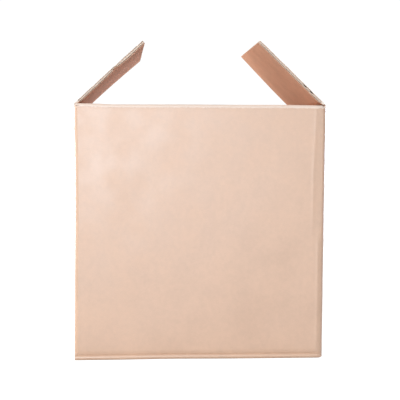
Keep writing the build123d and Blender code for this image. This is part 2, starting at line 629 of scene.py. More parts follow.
def fibre_group() -> bpy.types.NodeTree:
    """Paper fibre: pressed streaks, cloudy patches and a few light and dark flecks.

    Returns:
        The group, with the paper's colour, the fibre's height and the cloudiness as outputs.
    """

    def fill(graph: Graph, entry: Any) -> dict[str, bpy.types.NodeSocket]:
        """Adds the nodes of the effect.

        Args:
            graph: The group's own graph.
            entry: The sockets of the group's inputs.

        Returns:
            The sockets that go to the group's outputs, by name.
        """
        flat, solid = entry["Flat"], entry["Position"]
        streaks = graph.noise(graph.scaled(flat, (260.0, 1400.0, 1.0)), 1.0, 4.0, 0.62)
        fuzz = graph.noise(solid, 1500.0, 2.0, 0.6)
        cloud = graph.noise(solid, 26.0, 4.0, 0.55)
        felt = graph.noise(solid, 190.0, 3.0, 0.6)
        light = graph.ramp(graph.noise(graph.scaled(flat, (520.0, 980.0, 1.0)), 1.0, 1.0), 0.70, 0.80)
        dark = graph.ramp(graph.noise(graph.scaled(flat, (900.0, 610.0, 1.0)), 0.7, 1.0), 0.26, 0.19)
        tone = graph.plus(graph.times(streaks, 0.45), graph.times(felt, 0.55))
        tone = graph.times(graph.ramp(tone, 0.3, 0.7, -1.0, 1.0), entry["Fibre"])
        patch = graph.times(graph.ramp(cloud, 0.3, 0.7, -1.0, 1.0), entry["Cloud"])
        shade = graph.plus(graph.plus(tone, patch), 1.0)
        fleck = graph.times(graph.math("SUBTRACT", light, dark), entry["Fleck"])
        shade = graph.plus(shade, fleck)
        coloured = graph.mix(1.0, entry["Colour"], graph.grey(shade), "MULTIPLY")
        height = graph.plus(graph.times(streaks, 0.6), graph.times(fuzz, 0.4))
        return {"Colour": coloured, "Height": height, "Cloud": cloud}

    inputs = {"Flat": ORIGIN, "Position": ORIGIN, "Colour": (0.7, 0.5, 0.38, 1.0)}
    return shared_group("paper_fibre", {**inputs, "Fibre": 0.03, "Cloud": 0.03, "Fleck": 0.1}, fill)


def wear_and_painted_light_group() -> bpy.types.NodeTree:
    """Rubbed folds, paler where the wear is high, partly as a painted highlight on the outer liner's top
    fold, and painted shade on the inside of a fold where the wear is below 0.

    Returns:
        The group, with the colour and the share of rubbed paper as outputs.
    """

    def fill(graph: Graph, entry: Any) -> dict[str, bpy.types.NodeSocket]:
        """Adds the nodes of the effect.

        Args:
            graph: The group's own graph.
            entry: The sockets of the group's inputs.

        Returns:
            The sockets that go to the group's outputs, by name.
        """
        broken = graph.noise(entry["Position"], 420.0, 4.0, 0.65)
        reach = graph.plus(entry["Wear"], graph.times(broken, 0.9))
        mask = graph.times(graph.ramp(reach, 0.85, 1.35), entry["Amount"])
        coloured = graph.mix(mask, entry["Colour"], entry["Rubbed"])
        # Painted shade: where the wear is below 0 the colour darkens to the crease shade, standing for the
        # shadow inside a closed fold.
        crushed = graph.ramp(graph.times(entry["Wear"], -1.0), 0.1, 0.9)
        coloured = graph.mix(crushed, coloured, entry["Crease Shade"])
        return {"Colour": coloured, "Mask": mask}

    inputs = {"Position": ORIGIN, "Wear": 0.0, "Amount": 0.5, "Colour": (0.7, 0.5, 0.38, 1.0)}
    # The crease shade is a painted shadow colour; the rubbed colour is worn paper.
    inputs.update({"Rubbed": (0.8, 0.65, 0.52, 1.0), "Crease Shade": (0.2, 0.11, 0.06, 1.0)})
    return shared_group("rubbed_folds_and_painted_light", inputs, fill)


def washboard_group() -> bpy.types.NodeTree:
    """The flutes showing faintly through a liner, along the sheet's own coordinates.

    Returns:
        The group, with the waves' height as output.
    """

    def fill(graph: Graph, entry: Any) -> dict[str, bpy.types.NodeSocket]:
        """Adds the nodes of the effect.

        Args:
            graph: The group's own graph.
            entry: The sockets of the group's inputs.

        Returns:
            The sockets that go to the group's outputs, by name.
        """
        across = graph.node("ShaderNodeSeparateXYZ", {0: entry["Flat"]}).outputs[0]
        turns = graph.math("DIVIDE", across, entry["Pitch"])
        wave = graph.math("COSINE", graph.times(turns, 2.0 * math.pi))
        uneven = graph.ramp(graph.noise(entry["Flat"], 34.0, 2.0), 0.3, 0.7, 0.4, 1.0)
        return {"Height": graph.times(wave, uneven)}

    return shared_group("flute_washboard", {"Flat": ORIGIN, "Pitch": 7.8 * MM}, fill)


@dataclass(frozen=True)
class PaperFinish:
    """One of the carton's papers: its colour, how much its fibre shows, and how it wears, where its rubbed
    paper can also stand as a painted highlight.
    """

    name: str
    colour: Colour
    rubbed: Colour
    fibre: float = 0.035
    cloud: float = 0.03
    fleck: float = 0.10
    rub: float = 0.5
    roughness: float = 0.78
    rub_roughness: float = 0.12
    sheen: float = 0.12
    specular: float = 0.35
    washboard: float = 0.04
    wave_height: float = 0.1
    grain_height: float = 0.03
    pitch: float = 7.8

    def material(self) -> bpy.types.Material:
        """Builds the paper's material, or finds it if it is built already.

        Returns:
            The material.
        """
        known = bpy.data.materials.get(self.name)
        if known:
            return known
        made = bpy.data.materials.new(self.name)
        graph = emptied(made)
        place, flat = graph.sheet_place()
        wear = graph.node("ShaderNodeAttribute", attribute_name=WEAR_AND_PAINTED_LIGHT).outputs["Fac"]
        inputs = {"Flat": flat, "Position": place, "Colour": self.colour}
        inputs.update({"Fibre": self.fibre, "Cloud": self.cloud, "Fleck": self.fleck})
        fibre = graph.node("ShaderNodeGroup", inputs, node_tree=fibre_group()).outputs
        inputs = {"Position": place, "Wear": wear, "Amount": self.rub}
        inputs.update({"Colour": fibre["Colour"], "Rubbed": self.rubbed})
        rubbed = graph.node("ShaderNodeGroup", inputs, node_tree=wear_and_painted_light_group()).outputs
        inputs = {"Flat": flat, "Pitch": self.pitch * MM}
        flutes = graph.node("ShaderNodeGroup", inputs, node_tree=washboard_group()).outputs
        rough = graph.ramp(fibre["Cloud"], 0.25, 0.75, self.roughness - 0.05, self.roughness + 0.05)
        rough = graph.math("MULTIPLY_ADD", rubbed["Mask"], self.rub_roughness, rough)
        waves = graph.bump(flutes["Height"], self.wave_height, self.washboard)
        shader = graph.node(
            "ShaderNodeBsdfPrincipled",
            {
                "Base Color": rubbed["Colour"],
                "Roughness": rough,
                "Normal": graph.bump(fibre["Height"], self.grain_height, 1.0, waves),
                "Specular IOR Level": self.specular,
                "Sheen Weight": self.sheen,
                "Sheen Roughness": 0.6,
            },
        )
        graph.node("ShaderNodeOutputMaterial", {"Surface": shader.outputs[0]})
        return made


OUTER_PAPER = PaperFinish(
    "kraft_outer_liner",
    colour=(0.66, 0.42, 0.285, 1.0),
    # Partly real wear and partly a painted highlight: the paler rubbed colour and the high rub make the
    # front's top fold read as lit from above.
    rubbed=(0.88, 0.74, 0.64, 1.0),
    rub=0.65,
    roughness=0.42,
    specular=0.9,
    sheen=0.05,
)
INNER_PAPER = PaperFinish(
    "kraft_inner_liner",
    colour=(0.68, 0.37, 0.24, 1.0),
    rubbed=(0.82, 0.66, 0.54, 1.0),
    cloud=0.05,
    rub=0.3,
    roughness=0.9,
    sheen=0.0,
    specular=0.0,
)
EDGE_PAPER = PaperFinish(
    "raw_board_edge",
    colour=(0.74, 0.6, 0.49, 1.0),
    rubbed=(0.92, 0.85, 0.78, 1.0),
    fibre=0.12,
    fleck=0.2,
    rub=0.6,
    roughness=0.88,
    washboard=0.0,
    grain_height=0.12,
)
FLUTE_PAPER = PaperFinish(
    "fluted_medium_paper",
    colour=(0.76, 0.61, 0.5, 1.0),
    rubbed=(0.8, 0.68, 0.56, 1.0),
    fibre=0.08,
    roughness=0.85,
    washboard=0.0,
    grain_height=0.06,
)


def board_papers() -> list[bpy.types.Material]:
    """The board's materials, in the order of the finishes."""
    return [paper.material() for paper in (OUTER_PAPER, INNER_PAPER, EDGE_PAPER)]


@dataclass(frozen=True)
class TapeFinish:
    """Buff packing tape: a thin glossy film with fine wrinkles and trapped air."""

    name: str = "buff_packing_tape"
    film: Colour = (0.5, 0.31, 0.16, 1.0)
    bubble: Colour = (0.57, 0.38, 0.22, 1.0)
    roughness: float = 0.22
    coat: float = 0.35
    wrinkle: float = 0.12

    def material(self) -> bpy.types.Material:
        """Builds the film's material.

        Returns:
            The material.
        """
        made = bpy.data.materials.new(self.name)
        graph = emptied(made)
        place, flat = graph.sheet_place()
        pulled = graph.noise(graph.scaled(flat, (420.0, 36.0, 1.0)), 1.0, 3.0)
        air = graph.ramp(graph.noise(place, 130.0, 3.0), 0.56, 0.66)
        colour = graph.mix(air, self.film, self.bubble)
        rough = graph.ramp(pulled, 0.3, 0.7, self.roughness - 0.06, self.roughness + 0.1)
        shader = graph.node(
            "ShaderNodeBsdfPrincipled",
            {
                "Base Color": colour,
                "Roughness": rough,
                "Normal": graph.bump(pulled, self.wrinkle, 0.6),
                "Coat Weight": self.coat,
                "Coat Roughness": 0.12,
            },
        )
        graph.node("ShaderNodeOutputMaterial", {"Surface": shader.outputs[0]})
        return made


@dataclass(frozen=True)
class WallShape:
    """How the walls of this carton stand off the straight, in millimetres."""

    sizes: CartonSizes
    heights: tuple[float, ...] = (0, 25, 62, 100, 137, 174, 211, 249, 267, 286, 330)
    left_inset: tuple[float, ...] = (0.0, 0.15, 0.45, 0.6, 1.05, 1.35, 1.35, 1.2, 0.9, 0.25, 0.0)
    right_inset: tuple[float, ...] = (1.9, 2.05, 1.7, 1.55, 1.2, 1.05, 0.7, 0.4, 0.2, 0.0, 0.0)
    crest_at: tuple[float, ...] = (-156, -145, -125, -112, -75, -25, 50, 100, 140, 156)
    crest_rise: tuple[float, ...] = (1.2, 1.2, 0.8, 0.1, 0.15, 0.55, 0.5, 0.8, 0.5, 0.2)
    turn_in: float = 60.0
    sag: float = 0.7
    side_sag: float = 1.6
    long_wave: float = 230.0
    long_slant: float = 0.6
    long_margin: tuple[float, float] = (12.0, 90.0)
    short_wave: float = 190.0
    short_slant: float = 0.5
    short_margin: tuple[float, float] = (12.0, 70.0)
    foot_margin: tuple[float, float] = (12.0, 80.0)
    top_margin: tuple[float, float] = (12.0, 90.0)
    skin: tuple[float, float] = (9.0, 6.0)
    foot_skin: tuple[float, float] = (9.0, 3.0)
    crest_skin: tuple[float, float] = (6.7, 5.5)
    crest_zone: tuple[float, float] = (20.0, 2.0)
    crease_skin: tuple[float, float] = (6.4, 3.6)
    upper_zone: tuple[float, float] = (135.0, 205.0)
    lower_zone: tuple[float, float] = (-175.0, -130.0)
    closing_zone: tuple[float, float] = (230.0, 310.0)
    upper_crease: float = 14.4
    upper_crease_end: float = 11.8
    upper_depth: float = 1.4
    lower_crease: float = 7.3
    lower_depth: float = 1.6
    crease_curve: float = 0.85
    crease_ridge: float = 0.12
    ridge_off: float = 1.2
    ridge_width: float = 1.6
    ridge_zone: tuple[float, float] = (8.0, 20.0)
    score_drop: float = 4.6
    score_width: float = 0.8
    score_depth: float = 0.22
    arch_at: float = -37.0
    arch_width: float = 50.0
    arch_zone: tuple[float, float] = (-12.0, -4.0)
    arch: float = 0.5
    tape_half: float = 24.0
    tape_recess: float = 0.2
    underside: float = 0.3
    under_slack: float = 0.1

    def bend(self, points: np.ndarray) -> np.ndarray:
        """Moves points of the straight carton to where this one has them.

        Args:
            points: Points in the carton's frame, with x, y and z along the last axis.

        Returns:
            The moved points.
        """
        x, y, z = (points[..., axis].copy() for axis in range(3))
        size = self.sizes
        left = smooth(-x, self.turn_in, size.half_length)
        right = smooth(x, self.turn_in, size.half_length)
        new_x = x + left * np.interp(z, self.heights, self.left_inset)
        new_x -= right * np.interp(z, self.heights, self.right_inset)
        near_long = near_face(np.abs(y), size.half_width, self.skin) * (z > size.side_floor)
        middle = smooth(size.half_length - np.abs(x), *self.long_margin)
        upright = smooth(z, *self.foot_margin) * smooth(size.crest_height - z, *self.top_margin)
        wander = self._wander(x + self.long_slant * z * np.sign(y), self.long_wave, 5)
        new_y = y - np.sign(y) * near_long * middle * upright * self.sag * wander
        near_short = near_face(np.abs(x), size.half_length, self.skin)
        body = smooth(size.half_width - np.abs(y), *self.short_margin) * upright
        wander = self._wander(y - self.short_slant * z * np.sign(x), self.short_wave, 9)
        new_x -= np.sign(x) * near_short * body * self.sag * self.side_sag * wander
        new_y += self._soft_crease(x, y, z)
        score = bump(z, size.crest_height - self.score_drop, self.score_width) * self.score_depth
        new_y -= np.sign(y) * near_long * score
        under = (z < self.underside) & (np.abs(y) < self.tape_half)
        under &= np.abs(x) <= size.long_half + self.under_slack
        new_z = z + np.where(under, self.tape_recess, 0.0)
        low_front = near_face(-y, size.half_width, self.foot_skin) * smooth(-z, *self.arch_zone)
        new_z += self.arch * bump(x, self.arch_at, self.arch_width) * low_front
        on_crest = near_face(-y, size.half_width, self.crest_skin)
        on_crest = on_crest * near_face(z, size.crest_height, self.crest_zone)
        new_z += np.interp(x, self.crest_at, self.crest_rise) * on_crest
        return np.stack([new_x, new_y, new_z], -1)

    @staticmethod
    def _wander(along: np.ndarray, wave: float, seed: int) -> np.ndarray:
        """How much of its sag a wall has, from 0 to 1."""
        return np.clip(0.5 + 0.5 * ripple(along, wave, seed), 0.0, 1.0)

    def _soft_crease(self, x: np.ndarray, y: np.ndarray, z: np.ndarray) -> np.ndarray:
        """How far the two soft creases press the front right corner in, along y.

        Args:
            x: The points' places along the front.
            y: Their places from front to back.
            z: Their heights.

        Returns:
            How far each point moves towards the back.
        """
        edge = self.sizes.half_length - x
        near = near_face(-y, self.sizes.half_width, self.crease_skin)
        total = np.zeros_like(x)
        upper = smooth(z, *self.upper_zone) * self.upper_depth
        lower = smooth(-z, *self.lower_zone) * self.lower_depth
        narrowed = (self.upper_crease_end - self.upper_crease) * smooth(z, *self.closing_zone)
        closing = self.upper_crease + narrowed
        for reach, depth in ((closing, upper), (self.lower_crease, lower)):
            pressed = np.clip(1.0 - edge / reach, 0.0, 1.0)
            ridge = bump(edge - reach, self.ridge_off, self.ridge_width)
            ridge = ridge * self.crease_ridge * smooth(z, *self.ridge_zone)
            total += depth * (pressed**self.crease_curve) - ridge * depth / self.upper_depth
        return total * near


@dataclass
class FlutedMedium:
    """The waved paper between the liners, from a node tree with named sizes."""

    stock: BoardStock
    steps: int = 10
    gain: float = 1.22
    unevenness: float = 0.03

    def tree(self) -> bpy.types.NodeTree:
        """Builds the tree that waves a flat sheet, or finds it if it is built already.

        Returns:
            The tree, with named inputs for its sizes.
        """
        inputs = {
            "Flutes": 28,
            "Steps per Flute": self.steps,
            "Rows": 4,
            "Crown Gain": self.gain,
            "Edge Phase": 0.0,
            "Unevenness": self.unevenness,
            "Seed": 1.0,
            "Paper": None,
        }
        return shared_group("fluted_medium", inputs, self._wave, "GeometryNodeTree")

    @staticmethod
    def _wave(graph: Graph, entry: Any) -> dict[str, bpy.types.NodeSocket]:
        """Adds the nodes that wave a sheet and give it its paper.

        Args:
            graph: The tree's own graph.
            entry: The sockets of the tree's inputs.

        Returns:
            The sockets that go to the tree's outputs, by name.
        """
        across = graph.plus(graph.times(entry["Flutes"], entry["Steps per Flute"]), 1.0)
        rows = graph.plus(entry["Rows"], 1.0)
        inputs = {"Size X": 1.0, "Size Y": 1.0, "Vertices X": across, "Vertices Y": rows}
        sheet = graph.node("GeometryNodeMeshGrid", inputs).outputs[0]
        place = graph.node("GeometryNodeInputPosition").outputs[0]
        x = graph.node("ShaderNodeSeparateXYZ", {0: place}).outputs[0]
        turns = graph.times(graph.plus(x, 0.5), entry["Flutes"])
        angle = graph.math("MULTIPLY_ADD", turns, 2.0 * math.pi, entry["Edge Phase"])
        wave = graph.math("COSINE", angle)
        height = graph.times(wave, graph.times(entry["Crown Gain"], -0.5))
        height = graph.math("ADD", height, 0.5, clamp=True)
        noise = graph.node("ShaderNodeTexNoise", {"Scale": 9.0, "W": entry["Seed"]}, noise_dimensions="4D")
        uneven = graph.times(graph.math("SUBTRACT", noise.outputs[0], 0.5), entry["Unevenness"])
        lift = graph.node("ShaderNodeCombineXYZ", {2: graph.plus(height, uneven)}).outputs[0]
        waved = graph.node("GeometryNodeSetPosition", {"Geometry": sheet, "Offset": lift}).outputs[0]
        real = graph.node("GeometryNodeRealizeInstances", {0: waved}).outputs[0]
        inputs = {"Geometry": real, "Material": entry["Paper"]}
        return {"Sheet": graph.node("GeometryNodeSetMaterial", inputs).outputs[0]}

    def sheet(self, half_span: float, rows: int, phase: float, seed: int) -> tuple[np.ndarray, np.ndarray]:
        """Waves one sheet and reads it back.

        Args:
            half_span: Half of the flap's width across the flutes.
            rows: Rows of faces along the flutes.
            phase: Where in a wave the cut edges fall, in radians from the outer liner.
            seed: Picks the unevenness.

        Returns:
            Points across, along and through the board as shares from 0 to 1, and the faces' corners.
        """
        holder = linked("medium_holder", bpy.data.meshes.new("medium_holder"))
        modifier = holder.modifiers.new("fluted_medium", "NODES")
        modifier.node_group = self.tree()
        values = {
            "Flutes": round(2.0 * half_span / self.stock.flute_pitch),
            "Steps per Flute": self.steps,
            "Rows": rows,
            "Crown Gain": self.gain,
            "Edge Phase": phase,
            "Unevenness": self.unevenness,
            "Seed": float(seed),
            "Paper": FLUTE_PAPER.material(),
        }
        for item in modifier.node_group.interface.items_tree:
            if item.in_out == "INPUT":
                modifier[item.identifier] = values[item.name]
        baked = applied(holder)
        points = np.zeros(len(baked.vertices) * 3, np.float32)
        baked.vertices.foreach_get("co", points)
        points = points.reshape(-1, 3).astype(float) + (0.5, 0.5, 0.0)
        faces = np.array([list(face.vertices) for face in baked.polygons])
        bpy.data.meshes.remove(baked)
        return points, faces


@dataclass
class MediumBuilder:
    """Lays waved sheets into the flaps of one body, and makes one mesh of them."""

    stock: BoardStock
    medium: FlutedMedium
    edge_inset: float = 0.35
    tip_inset: float = 0.3
    tip_fray: float = 0.25
    fray_wave: float = 31.0
    points: list[np.ndarray] = field(default_factory=list)
    flat: list[np.ndarray] = field(default_factory=list)
    faces: list[np.ndarray] = field(default_factory=list)
    count: int = 0

    def lay(
        self,
        place: Callable[[Any, Any, Any], np.ndarray],
        half_span: float,
        start: float,
        end: float,
        rows: int,
        seed: int,
        phase: float = 0.0,
    ) -> None:
        """Lays one sheet into a flap.

        Args:
            place: Finds a point of the flap from across, along and depth.
            half_span: Half of the flap's width.
            start: Where the hollow board starts, along the flap.
            end: Where it ends at the cut tip.
            rows: Rows of faces along the flutes.
            seed: Picks the unevenness.
            phase: Where in a wave the cut edges fall, in radians from the outer liner.
        """
        shares, faces = self.medium.sheet(half_span, rows, phase, seed)
        across = (shares[:, 0] - 0.5) * 2.0 * (half_span - self.edge_inset)
        short_by = self.tip_inset + self.tip_fray * ripple(across, self.fray_wave, seed)
        frayed = end - math.copysign(1.0, end - start) * short_by
        along = start + shares[:, 1] * (frayed - start)
        liner = (self.stock.liner + self.stock.medium / 2.0) / self.stock.thickness
        depth = liner + np.clip(shares[:, 2], 0.0, 1.0) * (1.0 - 2.0 * liner)
        self.points.append(place(across, along, depth))
        self.flat.append(np.stack([across, along, depth], -1))
        self.faces.append(faces + self.count)
        self.count += len(across)

    def build(self, name: str) -> bpy.types.Object:
        """Makes the mesh and gives it the paper's thickness.

        Args:
            name: The piece's name.

        Returns:
            The finished object, at the origin.
        """
        holder = linked(name, paper_mesh(name, self.points, self.faces, self.flat, [np.zeros(self.count)]))
        skin = holder.modifiers.new("thickness", "SOLIDIFY")
        skin.thickness = self.stock.medium * MM
        skin.offset = 0.0
        return finished(name, applied(holder), [FLUTE_PAPER.material()], 50.0)


@dataclass
class RingColumns:
    """Columns round the walls: their outer and inner points in plan, their wall and their wear."""

    outer: list[np.ndarray] = field(default_factory=list)
    inner: list[np.ndarray] = field(default_factory=list)
    walls: list[Wall | None] = field(default_factory=list)
    wear: list[float] = field(default_factory=list)

    def add(self, outer: Any, inner: Any, wall: Wall | None, wear: float) -> None:
        """Adds one column, with no wall where it is a corner's or the tab's.

        Args:
            outer: Its point on the outer face, as x and y.
            inner: Its point on the inner face.
            wall: The wall that it stands in.
            wear: How worn the board is there.
        """
        self.outer.append(np.asarray(outer, float))
        self.inner.append(np.asarray(inner, float))
        self.walls.append(wall)
        self.wear.append(wear)


@dataclass
class CartonBody:
    """The four walls, the folded bottom, the glued tab and the two flaps tucked down inside."""

    sizes: CartonSizes
    stock: BoardStock
    shape: WallShape
    column_spacing: float = 5.5
    crease_knots: tuple[float, ...] = (14.0, 9.0, 6.0)
    crease_width: float = 16.0
    crease_spacing: float = 1.25
    closest: float = 0.3
    row_spacing: float = 6.5
    strip_spacing: float = 10.4
    top_rows: tuple[float, ...] = (3.6, 2.4, 1.4, 0.6, 0.0)
    foot_rows: tuple[float, ...] = (3.0, 6.5)
    tab_width: float = 35.0
    tab_board: float = 2.0
    tab_trim: float = 14.0
    tab_columns: int = 7
    tab_gap: float = 0.06
    joint_step: float = 2.0
    tab_turn: tuple[float, float] = (0.2, 1.0)
    tab_turn_columns: int = 5
    inner_radius: float = 1.0
    corner_columns: int = 8
    crest_points: int = 13
    crest_band: tuple[float, float] = (3.2, 1.6)
    crest_spread: float = 6.2
    crest_reach: float = 5.2
    crest_drop: float = 2.2
    bead_spread: float = 6.2
    bead_reach: float = 3.6
    bead_outer: Points = (
        (2.4, 0.0), (1.1, 0.12), (0.25, 0.65), (-0.35, 1.6), (-0.58, 2.7), (-0.52, 3.8),
        (-0.2, 4.8), (0.35, 5.7), (0.85, 6.3), (0.5, 6.9), (0.12, 8.2),
    )
    bead_inner: Points = (
        (7.0, 4.0), (5.8, 4.0), (5.1, 4.05), (4.6, 4.2), (4.25, 4.5), (4.05, 5.0),
        (4.0, 5.7), (4.0, 6.5), (4.0, 7.2), (4.0, 8.1), (4.0, 9.4),
    )
    closing_outer: Points = ((0.03, 1.5), (0.1, 0.7), (0.16, 0.36))
    closing_inner: Points = ((1.5, 1.75), (0.75, 1.0), (0.3, 0.5))
    bead_zone: tuple[float, float] = (-11.0, -7.5)
    bead_skin: tuple[float, float] = (-9.0, -3.0)
    tape_edge: float = 0.2
    foot_retreat: float = 1.0
    retreat_zone: tuple[float, float] = (-11.9, -8.0)
    retreat_skin: tuple[float, float] = (9.0, 4.0)
    spread_from: float = 118.0
    reach_from: float = 132.0
    tuck_bow: float = 1.1
    tuck_wave: float = 420.0
    tuck_zone: tuple[float, float] = (7.0, 22.0)
    tuck_above: float = 60.0
    solid_tuck: float = 13.0
    solid_foot: float = 24.0
    top_on_sheet: float = 400.0
    foot_on_sheet: float = -200.0
    worn_run: float = 1.6
    worn_top: float = 2.5
    # Scales wear from bending; on the front's top fold it also paints a highlight.
    fold_wear_and_highlight: float = 4.0
    foot_fold_wear: float = 0.35
    foot_edge_wear: float = 0.3
    top_wear_and_highlight: float = 0.8
    cut_wear: float = 0.9
    corner_wear: tuple[float, float] = (0.2, 0.15)
    corner_foot_wear: float = 0.3
    tab_fold_wear: float = 0.6
    tab_edge_wear: float = 0.7
    tab_wear: float = 0.1
    tab_pinch: tuple[float, float] = (0.9, 0.35)
    roll_wear: float = 0.95
    roll_spacing: float = 9.0
    roll_core: float = 0.02
    foot_seed: int = 20
    foot_flute_rows: int = 4
    top_seed: int = 30
    top_flute_rows: int = 6

    @property
    def wall_top(self) -> float:
        """Height where the front's fold starts to turn over."""
        return self.sizes.crest_height - self.stock.fold_radius

    def columns(self, wall: Wall) -> np.ndarray:
        """Lines across a wall between its slots, closer at the cut edges and at the soft crease.

        Args:
            wall: The wall.

        Returns:
            Their distances from the wall's middle, in order.
        """
        half = self.sizes.panel_half(wall)
        knots = self.stock.cut_knots(half)
        if wall is not Wall.FRONT:
            return split(knots, self.column_spacing)
        spaced = split(knots + [half - at for at in self.crease_knots], self.column_spacing)
        close = np.arange(half - self.crease_width, half, self.crease_spacing)
        spaced = np.unique(np.round(np.concatenate([spaced, close]), 4))
        keep = np.concatenate([[True], np.diff(spaced) > self.closest])
        keep[-1] = True
        spaced = spaced[keep]
        if spaced[-1] - spaced[-2] < self.closest:
            spaced = np.delete(spaced, -2)
        return spaced

    def wall_rows(self) -> np.ndarray:
        """Levels up the walls, with one at each change of thickness and at the tab's top.

        Returns:
            Their heights, from the foot up.
        """
        top = self.wall_top
        knots = [self.sizes.wall_foot, top - self.tab_trim, top - self.stock.crushed_run]
        knots += [self.sizes.hinge_height - self.stock.hinge_run, *(top - below for below in self.top_rows)]
        return split(knots, self.row_spacing)

    def thickness(self, wall: Wall, height: Any) -> np.ndarray:
        """The wall's thickness at a height: crushed thinner below its top fold.

        Args:
            wall: The wall.
            height: Heights up the wall.

        Returns:
            The thickness at each height.
        """
        stock, top, hinge = self.stock, self.wall_top, self.sizes.hinge_height
        if wall.is_long:
            return np.interp(height, (top - stock.crushed_run, top), (stock.thickness, stock.crushed))
        ends = (hinge - stock.hinge_run, hinge - stock.hinge_close)
        return np.interp(height, ends, (stock.thickness, stock.hinge_board))

    def long_top_path(self) -> FoldPath:
        """From the wall's top over the crest and down the tucked flap to its tip.

        Returns:
            The section.
        """
        stock, top, size = self.stock, self.wall_top, self.sizes
        radius = stock.fold_radius
        gap = radius - stock.crushed
        turn = np.linspace(0.0, math.pi, self.crest_points)
        outer = [(radius - radius * math.cos(a), top + radius * math.sin(a)) for a in turn]
        inner = [(radius - gap * math.cos(a), top + gap * math.sin(a)) for a in turn]
        lean = math.radians(size.tuck_lean)
        end = size.flap_length - radius
        runs = (3.0, 6.0, 9.0, stock.crushed_run, 30.0, 60.0, 90.0)
        for along in (*runs, end - stock.groove, end - stock.cut_margin, end):
            board = np.interp(along, (0.0, stock.crushed_run), (stock.crushed, stock.thickness))
            inset = stock.crushed + size.tuck_gap + along * math.sin(lean)
            height = top - along * math.cos(lean)
            inner.append((inset, height))
            outer.append((inset + board * math.cos(lean), height + board * math.sin(lean)))
        return FoldPath(outer, inner)

    def long_foot_path(self) -> FoldPath:
        """From the tip of an outer bottom flap to the fold, round the bead and up to the wall.

        Returns:
            The section.
        """
        stock, foot = self.stock, self.sizes.wall_foot
        end = stock.thickness / 2.0 + self.sizes.flap_length
        tape = self.sizes.half_width - self.shape.tape_half
        edge = self.tape_edge
        runs = (end, end - stock.cut_margin, end - stock.groove, tape + edge, tape - edge, 60.0, 30.0, 12.0)
        outer = [*((run, 0.0) for run in runs), *self.bead_outer, (0.0, foot)]
        inner = [*((run, stock.thickness) for run in runs), *self.bead_inner, (stock.thickness, foot)]
        return FoldPath(outer, inner)

    def short_top_path(self) -> FoldPath:
        """From the wall's top to the hinge fold, where the liners close together.

        Returns:
            The section.
        """
        hinge, top, close = self.sizes.hinge_height, self.wall_top, self.stock.hinge_close
        outer = [(0.0, top), (0.0, hinge - close)]
        inner = [(float(self.thickness(Wall.LEFT, top)), top), (self.stock.hinge_board, hinge - close)]
        outer += [(inset, hinge - below) for inset, below in self.closing_outer]
        inner += [(inset, hinge - below) for inset, below in self.closing_inner]
        return FoldPath(outer, inner)

    def short_foot_path(self) -> FoldPath:
        """From the tip of an inner bottom flap to the fold and up to the wall.

        Returns:
            The section.
        """
        floor, board = self.sizes.side_floor, self.stock.thickness
        end = board / 2.0 + self.sizes.flap_length
        runs = (end, end - self.stock.cut_margin, end - self.stock.groove, 80.0, 40.0, 12.0)
        outer = [(run, floor) for run in runs]
        inner = [(run, floor + board) for run in runs]
        small = self.inner_radius
        turn = np.linspace(math.pi / 2.0, 0.0, 7)
        for radius, face in ((board, outer), (small, inner)):
            centre = board + small if face is inner else board
            face += [(centre - radius * math.cos(a), floor + centre - radius * math.sin(a)) for a in turn]
        outer.append((0.0, self.sizes.wall_foot))
        inner.append((board, self.sizes.wall_foot))
        return FoldPath(outer, inner)

    def placer(self, wall: Wall, path: FoldPath, seed: int) -> Callable[[Any, Any, Any], np.ndarray]:
        """Makes the function that finds points of a strip.

        Args:
            wall: The wall that the strip belongs to.
            path: Its section.
            seed: Picks how its loose flap bows.

        Returns:
            A function of across, run and depth.
        """
        reach = self.sizes.reach(wall)

        def place(across: Any, run: Any, depth: Any) -> np.ndarray:
            """Finds points of the strip.

            Args:
                across: Distances along the wall.
                run: Distances along the section.
                depth: Depths, from 0 at the outer face to 1 at the inner one.

            Returns:
                The points in the carton's frame.
            """
            inset, height = path.at(run, depth)
            tucked = smooth(inset, *self.tuck_zone) * (height > self.sizes.wall_foot + self.tuck_above)
            bow = self.tuck_bow * ripple(across, self.tuck_wave, seed) * tucked if wall.is_long else 0.0
            if wall is Wall.FRONT:
                end = self.sizes.long_half
                crest = near_face(height, self.sizes.crest_height, self.crest_band)
                bead = smooth(-height, *self.bead_zone) * smooth(-inset, *self.bead_skin)
                spread = self.crest_spread * crest + self.bead_spread * bead
                drop = self.crest_drop * smooth(across, end - self.stock.groove, end)
                across = across - spread * smooth(-across, self.spread_from, end)
                reached = self.crest_reach * crest + self.bead_reach * bead
                across = across + reached * smooth(across, self.reach_from, end)
                height = height - drop * crest
            return self.shape.bend(wall.place(reach, across, inset + bow, height))

        return place

    def strip(
        self, wall: Wall, path: FoldPath, hollow: tuple[float, float], seed: int, up: bool
    ) -> CellBlock:
        """Cuts one strip beyond a fold of a wall into cells.

        Args:
            wall: The wall that it carries on from.
            path: Its section.
            hollow: The run between which its flutes are hollow.
            seed: Picks how its loose flap bows.
            up: Whether it starts at the wall's top, rather than ends at its foot.

        Returns:
            The strip's block.
        """
        across = self.columns(wall)
        run = split(path.run, self.strip_spacing)
        levels = self.stock.levels
        points = self.placer(wall, path, seed)(*axes(across, run, levels))
        flat = lattice(across, run + (self.top_on_sheet if up else self.foot_on_sheet), levels)
        middle = (run[:-1] + run[1:]) / 2.0
        solid = np.ones((len(across) - 1, len(run) - 1, 3), bool)
        solid[:, (middle > hollow[0]) & (middle < hollow[1]), 1] = False
        half = self.sizes.panel_half(wall)
        inset, height = path.at(run, 0.0)
        heading = np.unwrap(np.arctan2(np.gradient(height, run), np.gradient(inset, run)))
        most_fold, most_edge = (1.0, 1.0) if up else (self.foot_fold_wear, self.foot_edge_wear)
